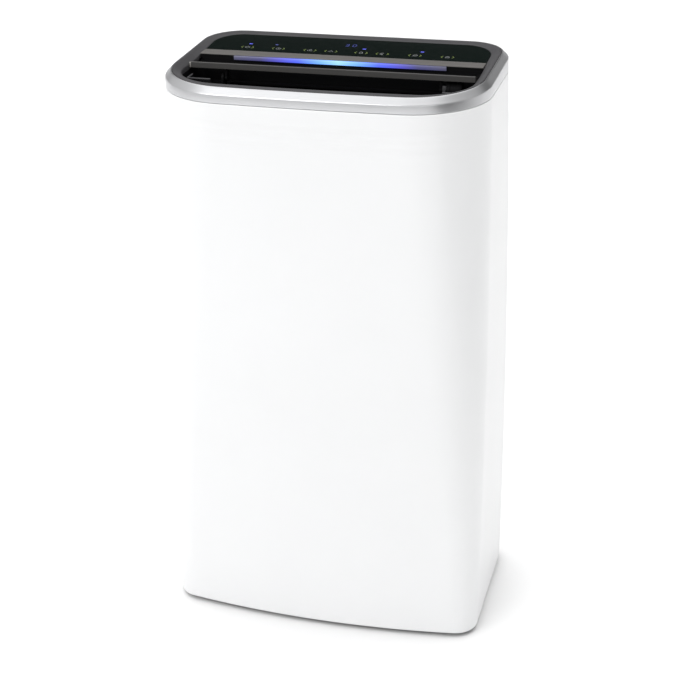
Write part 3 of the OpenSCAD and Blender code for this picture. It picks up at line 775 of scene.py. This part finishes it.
# --- dark ring round the console and outlet ---
def make_ring():
    def hill(y):
        """Share of the rear's heights at y."""
        return smooth((y + 10) / 40)

    lip = section(SHELL_H, 7.6)
    mouth = closed(front_half(OPEN_W, OPEN_FRONT, OPEN_SAG, OPEN_R[0], 0),
                   rear_half(GLASS_W + 0.3, REAR_Y - GLASS_IN + 0.3, GLASS_R, 0))
    # (share of the way from lip to mouth, height at the front, height at the rear)
    profile = ((0, 614.0, 614.0), (0, 615.4, 615.4), (0.03, 615.9, 615.9), (0.09, 616.1, 616.1),
               (0.2, 616.1, 616.2), (0.34, 615.9, 616.3), (0.42, 615.8, 616.4),
               (0.7, 615.2, 616.7), (0.93, 614.7, 616.7), (0.98, 614.2, 616.5),
               (1.0, 613.4, 616.2), (1.0, 609.0, 614.0), (0.93, 609.0, 613.9),
               (0.85, 611.6, 614.2), (0.1, 613.8, 614.0))
    rows = []
    for share, low, high in profile:
        row = []
        for a, b in zip(lip, mouth):
            x, y = lerp(a[0], b[0], share), lerp(a[1], b[1], share)
            rise = lerp(rim(y), lift(y), smooth(share))
            row.append((x, y, lerp(low, high, hill(y)) + rise))
        rows.append(row)
    obj = skin("console_ring", rows)
    finish_piece(obj, "housing", "dark_plastic", "top_frame", angle=40)

    # the throat below the ring, painted near-black as shade
    rows = [loop(opening(i), z) for i, z in ((0.05, 608.9), (0.05, 590), (-1.9, 590),
                                             (-1.9, 610.4), (-0.6, 610.6))]
    shaded_throat = skin("outlet_throat", rows)
    finish_piece(shaded_throat, "housing", "dark_plastic", "top_frame", look="shaded_throat", angle=40)

    # crossbar between the glass and the outlet, and the wall that carries the light bar, painted
    # black as shade
    y0 = OPEN_REAR
    top = [(y0 + 1.6, 616.6), (y0 + 1.6, 617.2), (y0 + 0.3, 617.3), (y0 + 0.2, 617.5),
           (y0 + 0.45, 617.9), (y0 + 1.2, 618.15), (BAR_REAR - 0.5, 618.2), (BAR_REAR, 617.8),
           (BAR_REAR, 616.6)]
    bar = bar_x("crossbar", top, -151.9, 151.9)
    finish_piece(bar, "housing", "dark_plastic", look="crossbar", angle=25)
    back = [(y0 + 0.1, 588.5), (y0 + 0.1, 610.6), (y0 + 1.6, 610.9), (y0 + 1.6, 616.6),
            (y0 + 12, 616.6), (y0 + 12, 614), (y0 + 4.5, 614), (y0 + 4.5, 588.5)]
    wall = bar_x("outlet_rear_wall", back, -151.5, 151.5)
    finish_piece(wall, "housing", "dark_plastic", look="shaded_throat", angle=25)


# --- glass panel and light bar ---
def make_glass():
    rows = []
    for z, inset in ((-2.05, 0.3), (-1.9, 0), (-0.4, 0), (-0.12, 0.1), (-0.02, 0.3), (0, 0.6)):
        half = rear_half(GLASS_W, REAR_Y - GLASS_IN, GLASS_R, inset, 16)
        y0 = BAR_REAR + 0.4 + inset
        right = [(half[0][0], lerp(y0, half[0][1], k / 4)) for k in range(4)] + half
        rows.append(raised(right + [(-x, y) for x, y in reversed(right)], GLASS_TOP + z))
    finish_piece(loft("glass_panel", rows), "housing", "black_gloss", "touch_panel", angle=25)


LIGHT_Z = (612.8, 617.1)


def make_light():
    z0, z1 = LIGHT_Z
    y = OPEN_REAR
    profile = [(y - 0.9, z0 + 0.3), (y - 1.1, z0 + 0.8), (y - 1.1, z1 - 0.6), (y - 0.7, z1),
               (y + 1.4, z1), (y + 1.4, z0), (y - 0.6, z0)]
    obj = bar_x("light_bar_lens", profile, -LIGHT_W / 2, LIGHT_W / 2, 60)
    finish_piece(obj, "housing", "light_bar", "light_lens")


# --- keys, pictograms, lamps and the little display, printed on the glass ---
BRACKET = (5.0, 6.8, 2.6)    # a key bracket's ends and tip from the middle, and its half height
BRACKET_LINE, MARK_LINE = 0.95, 0.6
MARK_SCALE = 1.1
LAMP_HALF = (1.9, 1.3)
DIM_LAMP = (-81.4, -78.2, 57.4, 59.2)
DIGIT_W, DIGIT_H, DIGIT_FOOT = 3.4, 3.2, 64.0
DIGITS = ((-5.5, "abgcd"), (2.5, "afedcb"))


def stroke(pts, width, z0, z1):
    """A flat printed line along pts (x, y)."""
    left, right = [], []
    for k, (x, y) in enumerate(pts):
        a, b = pts[max(k - 1, 0)], pts[min(k + 1, len(pts) - 1)]
        dx, dy = b[0] - a[0], b[1] - a[1]
        d = math.hypot(dx, dy) or 1
        left.append((x - dy / d * width / 2, y + dx / d * width / 2))
        right.append((x + dy / d * width / 2, y - dx / d * width / 2))
    return prism("stroke", right + left[::-1], z0, z1)


def arc(cx, cy, r, a0, a1, n=10):
    """Points on an arc, in degrees."""
    return [
        (cx + r * math.cos(math.radians(lerp(a0, a1, k / n))),
         cy + r * math.sin(math.radians(lerp(a0, a1, k / n))))
        for k in range(n + 1)
    ]


PICTOGRAMS = (
    # power, timer, fan, swing, drop, moon, leaf, lock: each a few strokes about (0, 0)
    [arc(0, 0, 2.2, 120, 420), [(0, 0.4), (0, 3.2)]],
    [arc(0, 0, 2.4, 0, 350), [(0, 1.7), (0, 0), (1.3, -0.6)]],
    [arc(0, 1.3, 1.2, -90, 150), arc(1.1, -0.7, 1.2, 150, 390), arc(-1.1, -0.7, 1.2, 30, 270)],
    [[(-2.6, -1.6), (0, 2.2), (2.6, -1.6)], [(-1.2, -1.6), (1.2, -1.6)]],
    [[(0, 2.8), (-1.5, 0.2)], arc(0, -0.6, 1.7, 150, 390), [(1.5, 0.2), (0, 2.8)]],
    [arc(0, 0, 2.3, 60, 300), arc(1.2, 0, 2.0, 90, 270)],
    [[(-2.4, -2.0), (1.8, 2.0)], arc(0.4, 0, 2.2, 45, 225), arc(0.0, 0.2, 2.2, -135, 45)],
    [[(-1.8, 0.2), (-1.8, -2.2), (1.8, -2.2), (1.8, 0.2), (-1.8, 0.2)], arc(0, 0.4, 1.3, 0, 180)],
)


def make_keys():
    z0, z1 = GLASS_TOP - 0.02, GLASS_TOP + 0.04
    brackets, marks = [], []
    ends, tip, high = BRACKET
    for x, strokes in zip(KEY_X, PICTOGRAMS):
        for side in (-1, 1):
            pts = [(x + side * ends, KEY_Y + high), (x + side * tip, KEY_Y),
                   (x + side * ends, KEY_Y - high)]
            brackets.append(stroke(pts, BRACKET_LINE, z0, z1))
        for pts in strokes:
            marks.append(stroke([(x + u * MARK_SCALE, KEY_Y + v * MARK_SCALE) for u, v in pts],
                                MARK_LINE, z0, z1))
    for name, parts, look in (("key_brackets", brackets, "print_green"),
                              ("key_marks", marks, "print_grey")):
        finish_piece(drape(join(name, parts)), "housing", "black_gloss", look=look)
    steps = ((z0, 0), (z1, 0.1))
    lamps = [slab("lamp", "z", about(spot, *LAMP_HALF), 0.6, steps) for spot in LAMPS]
    finish_piece(drape(join("status_lamps", lamps)), "housing", "light_bar", look="lamp")
    dim = slab("dim_lamp", "z", DIM_LAMP, 0.5, steps)
    finish_piece(drape(dim), "housing", "light_bar", look="lamp_dim")
    # two seven-segment digits
    segs = []
    w, h = DIGIT_W, DIGIT_H
    lines = {"a": ((0, 2 * h), (w, 2 * h)), "g": ((0, h), (w, h)), "d": ((0, 0), (w, 0)),
             "f": ((0, h), (0, 2 * h)), "b": ((w, h), (w, 2 * h)), "e": ((0, 0), (0, h)),
             "c": ((w, 0), (w, h))}
    for cx, on in DIGITS:
        for key in on:
            (ax, ay), (bx, by) = lines[key]
            tx, ty = (bx - ax) * 0.1, (by - ay) * 0.1
            segs.append(stroke([(cx + ax + tx, DIGIT_FOOT + ay + ty),
                                (cx + bx - tx, DIGIT_FOOT + by - ty)], MARK_LINE, z0, z1))
    finish_piece(drape(join("display_digits", segs)), "housing", "light_bar", look="lamp_dim")


# --- louver, its motor and the outlet's end brackets ---
LOUVER_AXIS = (-8, 600)      # y and z of its pins
LUG_X = 114.3
RIB_PITCH = 28


def make_louver():
    profile = [(-16.0, 616.9), (-16.4, 616.7), (-17.0, 611.5), (-16.7, 611.0), (-16.0, 610.8),
               (-14.4, 610.6), (-8.0, 608.8), (7.6, 606.3), (8.6, 607.0), (8.2, 608.2),
               (-5.5, 614.2), (-14.8, 617.1)]
    blade = bar_x("louver_blade", profile, -151.6, 150.0, 4)
    for v in blade.data.vertices:
        # the ends are rounded back in plan
        x = v.co.x / MM
        if abs(x) > 149:
            behind = max(v.co.y / MM + 4, 0) / 12.6
            v.co.x = (x - math.copysign(2.4 * behind**2, x)) * MM
    parts = []
    for side in (-1, 1):
        x = side * LUG_X
        parts.append(revolve("lug", "x", LOUVER_AXIS, (
            (3.0, x - 1.7), (3.6, x - 1.3), (3.6, x + 1.3), (3.0, x + 1.7)), 32))
        parts.append(soft_slab("web", "x", (-11.2, -4.8, 600, 609.2), 1.0, x - 1.5, x + 1.5, 0.4))
    for profile in (((1.6, -118.9), (2.0, -118.5), (2.0, -114)),
                    ((2.0, 115), (2.0, 123.5), (1.6, 123.9))):
        parts.append(revolve("pin", "x", LOUVER_AXIS, profile, 24))
    for k in range(-4, 5):
        x0, x1 = k * RIB_PITCH - 0.6, k * RIB_PITCH + 0.6
        parts.append(prism("rib", [(x0, -8), (x1, -8), (x1, 5), (x0, 5)], 606.9, 609.0))
    finish_piece(blade, "louver", "dark_plastic", "louver", look="louver", angle=22)
    # the hinges under the blade in the near-black painted shade
    finish_piece(join("louver_hinges", parts), "louver", "dark_plastic", "louver", look="shaded_throat",
                 angle=40)
    # a light grey slab on the left end only: a painted highlight where the light falls on the
    # louver's end
    cap = soft_slab("louver_end_highlight", "x", (-17.1, -13.6, 611.0, 616.8), 0.8, -152.0, -150.4, 0.3)
    finish_piece(cap, "louver", "dark_plastic", look="cap")


def make_brackets():
    """Low ledges moulded at both ends of the outlet, with a post under the crossbar."""
    # (x from and to), (y from and to), top, thickness of the upper part, which keeps the plastic's
    # grey; the body under it is painted near-black as shade
    ledges = (((-143.0, -119.0), (-46.2, -44.6), 608.6, 1.3),
              ((-144.8, -143.2), (-46.2, -30.0), 608.6, 1.3),
              ((122.0, 143.0), (-43.4, -42.0), 607.2, 1.3),
              ((116.8, 120.6), (-16.4, -13.8), 605.8, 7.0))
    tops, bodies = [], []
    for (x0, x1), (y0, y1), top, deep in ledges:
        tops.append(soft_slab("ledge", "z", (x0, x1, y0, y1), 0.6, top - deep, top, 0.4))
        bodies.append(block("ledge_body", (x0 + 0.1, y0 + 0.1, 592),
                            (x1 - 0.1, y1 - 0.1, top - deep), 0.2))
    finish_piece(join("outlet_ledges", tops), "housing", "dark_plastic", look="bracket")
    finish_piece(join("outlet_brackets", bodies), "housing", "dark_plastic", look="shaded_throat")
    # the swing motor in the near-black painted shade of the outlet
    motor = revolve("swing_motor", "x", LOUVER_AXIS, [
        (7.6, 119.6), (8.6, 120.0), (8.7, 121), (8.7, 124), (8.2, 124.4), (8.2, 131), (8.7, 131.4),
        (8.7, 134.6), (7.8, 136.2)], 48)
    finish_piece(motor, "housing", "black_plastic", "louver_motor", look="shaded_throat")


# --- rear cover and what is fitted in it ---
SCREWS = tuple((x, z) for x in (-112, 112) for z in (24, 262, 572))
INLET = (86, 72)
DRAIN = (88, 150)
GRILLE = (-122, 122, 279, 541)
PANEL = (-127, 49, 42, 238)
TANK = (-122, 44, -76, 104)
POCKET = (-74, -4, 182, 218)
GRIP_AXIS = (101.5, 212)           # y and z of the folding grip's rod
FLOAT_AXIS = (32, 214)             # x and z of the float's pin


def make_rear_cover():
    rows = [loop(rear_path(z, inset + SKIN_IN), z) for z, inset in shell_levels(False)]
    rows += [loop(rear_path(z, WALL), z) for z in (SHELL_H - 0.25, 400, 200, FLOOR_GAP)]
    obj = seam_skin("rear_cover_skin", rows, 1)
    y = REAR_Y
    inside, outside = 90, 120
    holes = [
        slab("hole", "y", grow(GRILLE, -6), 3, ((inside, 0), (y - 0.6, 0), (y + 0.4, -0.9))),
        slab("hole", "y", grow(PANEL, 0.5), 4.5, ((inside, 0), (y - 0.8, 0), (y + 0.4, -1.1))),
        slab("hole", "y", about(INLET, 15.2, 11.2), 2.7, ((inside, 0), (outside, 0))),
        revolve("hole", "y", DRAIN, ((8.3, inside), (8.3, outside))),
    ]
    holes += [revolve("hole", "y", p, ((2.2, inside), (2.2, outside)), 20) for p in SCREWS]
    cut(obj, holes)
    finish_piece(obj, "housing", "shell_white", "rear_cover", angle=30)


def make_screws():
    heads = []
    long, thin = 1.9, 0.45      # half length and half width of the cross slot
    for x, z in SCREWS:
        screw = revolve("screw", "y", (x, z), (
            (1.2, 98.5), (1.9, 99.6), (2.0, 108.5), (3.9, 108.65), (4.0, 109.1), (3.7, 109.8),
            (2.9, 110.25), (1.6, 110.4)), 32)
        cut(screw, [block("slot", (x - dx, 109.3, z - dz), (x + dx, 111, z + dz))
                    for dx, dz in ((thin, long), (long, thin))])
        heads.append(screw)
    finish_piece(join("cover_screw_set", heads), "housing", "steel", "cover_screws")


def frame_ring(name, rect, r, profile):
    """A rounded rectangular frame; profile is (y, inset) round its section."""
    return skin(name, [[(u, w, v) for u, v in rounded(grow(rect, -i), max(r - i, 0.4))]
                       for w, i in profile])


SLAT_N, SLAT_PITCH, SLAT_H, SLAT_FOOT = 16, 15, 4, 298
NET_PITCH = 3
QUILT = 7.5                        # pitch of the carbon pad's cushions
PAD = (-112.6, 112.6, 288.4, 531.6)
PAD_Y = (93.6, 99.0)
PAD_NX, PAD_NZ = 90, 96


def make_grille():
    parts = [
        frame_ring("flange", GRILLE, 6, (
            (108.65, 0.5), (108.9, 0), (111.4, 0), (112.1, 0.35), (112.4, 1.1), (112.4, 6.4),
            (112.1, 7.6), (111.2, 8.5), (109.9, 8.95), (108.65, 9))),
        frame_ring("collar", GRILLE, 9.5, (
            (96.5, 6.9), (97.1, 6.5), (108.8, 6.5), (108.8, 9), (96.5, 9))),
    ]
    for k in range(SLAT_N):
        z0 = SLAT_FOOT + SLAT_PITCH * k
        z1 = z0 + SLAT_H
        parts.append(bar_x("slat", [
            (104.5, z0 + 0.5), (105, z0), (110.2, z0), (110.9, z0 + 0.5), (111.1, z0 + 1.3),
            (111.1, z1 - 1.3), (110.9, z1 - 0.5), (110.2, z1), (105, z1), (104.5, z1 - 0.5)],
            -113.2, 113.2))
    for x in range(-76, 77, 38):
        parts.append(block("rib", (x - 1, 102.55, 287.8), (x + 1, 104.6, 532.2), 0.3))
    finish_piece(join("filter_grille", parts), "filter", "shell_white", "filter_frame", angle=30)


def make_net():
    strands = [frame_ring("border", (-112.8, 112.8, 288.2, 531.8), 2, (
        (100.6, 0), (102.2, 0), (102.2, 4), (100.6, 4)))]
    for x in range(-108, 109, NET_PITCH):
        strands.append(prism("strand", [(x - 0.3, 101.3), (x + 0.3, 101.3), (x + 0.3, 101.8),
                                        (x - 0.3, 101.8)], 289, 531))
    for z in range(293, 529, NET_PITCH):
        strands.append(bar_x("strand", [(101, z - 0.3), (101.5, z - 0.3), (101.5, z + 0.3),
                                        (101, z + 0.3)], -112, 112))
    finish_piece(join("filter_net", strands), "filter", "mesh_fabric", "filter_mesh")


def make_carbon_pad():
    """A quilted pad: a grid of points on its inner and outer side, joined at the rim."""
    nx, nz = PAD_NX, PAD_NZ
    verts, faces = [], []
    for outer in (0, 1):
        for i in range(nz + 1):
            for j in range(nx + 1):
                u, v = j / nx, i / nz
                x, z = lerp(PAD[0], PAD[1], u), lerp(PAD[2], PAD[3], v)
                cell = abs(math.sin(math.pi * x / QUILT) * math.sin(math.pi * z / QUILT))
                puff = 1.1 * cell * min(1.0, 32 * min(u, 1 - u, v, 1 - v))
                verts.append((x, PAD_Y[1] + puff if outer else PAD_Y[0] - puff * 0.9, z))
    layer_n = (nx + 1) * (nz + 1)
    for outer in (0, 1):
        for i in range(nz):
            for j in range(nx):
                a = outer * layer_n + i * (nx + 1) + j
                faces.append((a, a + 1, a + nx + 2, a + nx + 1))
    rim_ids = (list(range(nx)) + [i * (nx + 1) + nx for i in range(nz)]
               + [nz * (nx + 1) + nx - j for j in range(nx)]
               + [(nz - i) * (nx + 1) for i in range(nz)])
    for a, b in zip(rim_ids, rim_ids[1:] + rim_ids[:1]):
        faces.append((a, b, b + layer_n, a + layer_n))
    foam = tidy_normals(new_object("carbon_pad", verts, faces))
    finish_piece(foam, "filter", "carbon_foam", "carbon_filter", angle=50)


def make_bucket():
    bucket = slab("tank_bucket", "z", TANK, 10, (
        (48.5, 6.5), (49.3, 3.8), (51.5, 2.5), (231.4, 2.5), (231.9, 2.1), (232, 1.5), (231.9, 0.5),
        (231.3, 0), (52, 0), (48.2, 1.3), (46.4, 3.8), (46, 6.5)))
    cut(bucket, [slab("hole", "y", (-78.2, 0.2, 179.3, 220.7), 4, ((84, 0), (110, 0)))])
    finish_piece(bucket, "tank", "tank_plastic", "tank", angle=30)


def make_tank_panel():
    # the panel's face with a pocket for the fingers behind the grip
    back = stepped("tank_panel", "y", [
        (grow(POCKET, -1.5), 3.5, 88.5), (grow(POCKET, -0.4), 4, 88.9), (POCKET, 4, 90),
        (POCKET, 4, 106.6), (grow(POCKET, 0.4), 4.4, 107.8), (grow(POCKET, 1.4), 5.4, 108.5),
        (grow(PANEL, -1.2), 3, 108.5), (grow(PANEL, -0.35), 4, 108.2), (PANEL, 4, 107.4),
        (PANEL, 4, 104.2), (grow(PANEL, -0.3), 4, 104.02), (grow(POCKET, 4), 5, 104.02),
        (grow(POCKET, 4), 5, 87), (grow(POCKET, 3), 4, 86)])
    recess = slab("hole", "y", (21.5, 34.5, 74.5, 195.5), 6.5, ((107.5, 0), (109, 0)))
    cut(back, [recess, revolve("hole", "x", GRIP_AXIS, ((2.2, -77.5), (2.2, -0.5)), 24)])
    finish_piece(back, "tank", "shell_white", "tank", angle=30)
    window = soft_slab("level_window", "y", (21.8, 34.2, 74.8, 195.2), 6.2, 107.52, 108.3, 0.3)
    finish_piece(window, "tank", "tank_plastic", look="window")


def make_lid():
    plate = soft_slab("lid", "z", TANK, 10, 232.05, 234.2, 0.5)
    mouth = revolve("hole", "z", (-40, 50), ((16, 230), (16, 233.2), (17.6, 234.6)))
    groove = slab("hole", "z", grow(TANK, -10), 8, ((233.7, 0), (236, 0)))
    cut(groove, [slab("hole", "z", grow(TANK, -12), 7, ((233, 0), (237, 0)))])
    cut(plate, [mouth, groove])
    parts = [plate]
    for y in (-66, -10):
        arm = slab("bracket", "y", (27, 37, 209, 232.6), 4,
                   ((y, 0.4), (y + 0.4, 0), (y + 3.6, 0), (y + 4, 0.4)))
        cut(arm, [revolve("hole", "y", FLOAT_AXIS, ((2.06, y - 1), (2.06, y + 5)), 32)])
        parts.append(arm)
    finish_piece(join("tank_lid_plate", parts), "tank", "dark_plastic", "tank_lid", angle=30)


def make_grip():
    grip = [
        soft_slab("grip", "y", (-73, -5, 192, 211), 3, 99.6, 104.4, 1.3),
        revolve("rod", "x", GRIP_AXIS, ((2.6, -73), (3, -72.6), (3, -5.4), (2.6, -5)), 32),
        revolve("pin", "x", GRIP_AXIS, ((1.6, -76), (2, -75.6), (2, -2.4), (1.6, -2)), 24),
    ]
    finish_piece(join("tank_grip", grip), "tank_handle", "dark_plastic", "tank_handle", angle=40)


def make_float():
    bob = [
        soft_slab("float_body", "z", (-8, 36, -58, -16), 6, 164, 192, 3),
        soft_slab("float_arm", "x", (-56, -18, 188, 215.4), 3, 28, 32, 0.6),
        revolve("float_pin", "y", FLOAT_AXIS, ((1.6, -66), (2, -65.6), (2, -6.4), (1.6, -6)), 24),
    ]
    finish_piece(join("float_bob", bob), "float", "white_foam", "float", angle=40)


def make_drain():
    spout = revolve("drain_socket", "y", DRAIN, (
        (6, 90.5), (6, 109.9), (6.5, 110.5), (10.3, 110.5), (10.9, 110.1), (11, 109.4),
        (11, 108.65), (8, 108.6), (8, 89), (7.5, 88.5)))
    finish_piece(spout, "housing", "dark_plastic", "drain_spout")
    plug = [
        revolve("plug", "y", DRAIN, (
            (5.2, 100.5), (5.9, 101.2), (5.9, 102.4), (5.5, 102.8), (5.5, 104), (5.9, 104.4),
            (5.9, 105.6), (5.5, 106), (5.5, 110.8))),
        revolve("cap", "y", DRAIN, (
            (9.2, 110.7), (9.6, 110.9), (9.75, 111.4), (9.6, 112), (9, 112.3), (6.6, 112.3),
            (6.2, 112), (3, 111.9)), 144, 0.2, 36),
    ]
    finish_piece(join("drain_plug", plug), "drain_cap", "black_rubber", "drain_cap")


def make_inlet():
    # (half width, half height, corner radius, y): inside, flange, outside
    steps = ((12, 9, 2.2, 91.5), (12, 9, 2.2, 109.8), (12.5, 9.5, 2.6, 110.45),
             (18.3, 13.3, 2.6, 110.5), (18.85, 13.85, 3, 110.2), (19, 14, 3, 109.5),
             (19, 14, 3, 108.65), (15, 11, 2.5, 108.6), (15, 11, 2.5, 87), (14.5, 10.5, 2, 86.5))
    shell = stepped("mains_inlet", "y", [(about(INLET, w, h), r, y) for w, h, r, y in steps])
    finish_piece(shell, "housing", "black_plastic", "power_inlet")
    cx, cz = INLET
    pins = [soft_slab("pin", "y", (cx + x - 1, cx + x + 1, cz + z, cz + z + 4), 0.5, 91, 105.5, 0.5)
            for x, z in ((-7, -4), (0, 0), (7, -4))]
    finish_piece(join("inlet_pins", pins), "housing", "steel")


CASTERS = (("fl", -126, -64), ("fr", 126, -64), ("rl", -126, 66), ("rr", 126, 66))
TRAIL, AXLE_Z = 7, 13
# (radius, distance from the wheel's middle plane)
TYRE = ((9, 4.6), (9.6, 5.2), (11.6, 5.5), (12.5, 5.1), (12.9, 4.1), (13, 2.6))
HUB = ((2.08, 5.4), (3.4, 5.5), (3.8, 5.2), (4, 4.2), (7.6, 3.4), (8.2, 3.8), (8.5, 4.6),
       (9.05, 4.6))


def make_casters():
    for tag, x, y in CASTERS:
        cy, cz = y + TRAIL, AXLE_Z
        parts = [revolve("top", "z", (x, y), (
            (11.3, 27.5), (11.9, 27.8), (12, 28.4), (11.9, 29.3), (11.3, 29.7), (5, 29.7),
            (4.2, 30.1), (4, 30.8), (4, 37.4), (3.5, 38)))]
        low = [(cy + 5 * math.cos(math.radians(a)), cz + 5 * math.sin(math.radians(a)))
               for a in range(190, 361, 17)]
        leg = [(y + 12, 28), (y - 4, 28), (y - 4, 25.5)] + low
        for s in (-1, 1):
            arm = bar_x("leg", leg, x + s * 7 - 1, x + s * 7 + 1)
            bevel(arm, 0.35, 2)
            parts.append(arm)
        parts.append(revolve("axle", "x", (cy, cz), (
            (1.2, x - 8), (1.8, x - 7.8), (2, x - 7.3), (2, x + 7.3), (1.8, x + 7.8),
            (1.2, x + 8)), 32))
        fork = "fork_" + tag
        finish_piece(join("caster_" + fork, parts), fork, "black_plastic", fork)
        tyre = wheel_part("caster_tyre_" + tag, x, (cy, cz), TYRE)
        wheel = "wheel_" + tag
        finish_piece(tyre, wheel, "black_rubber", wheel)
        hub = wheel_part("caster_hub_" + tag, x, (cy, cz), HUB)
        finish_piece(hub, wheel, "black_plastic", wheel, look="bracket")


for make in (
    make_front_cover, make_trim, make_ring, make_glass, make_light, make_keys, make_louver,
    make_brackets, make_rear_cover, make_screws, make_grille, make_net, make_carbon_pad,
    make_bucket, make_tank_panel, make_lid, make_grip, make_float, make_drain, make_inlet,
    make_casters,
):
    make()
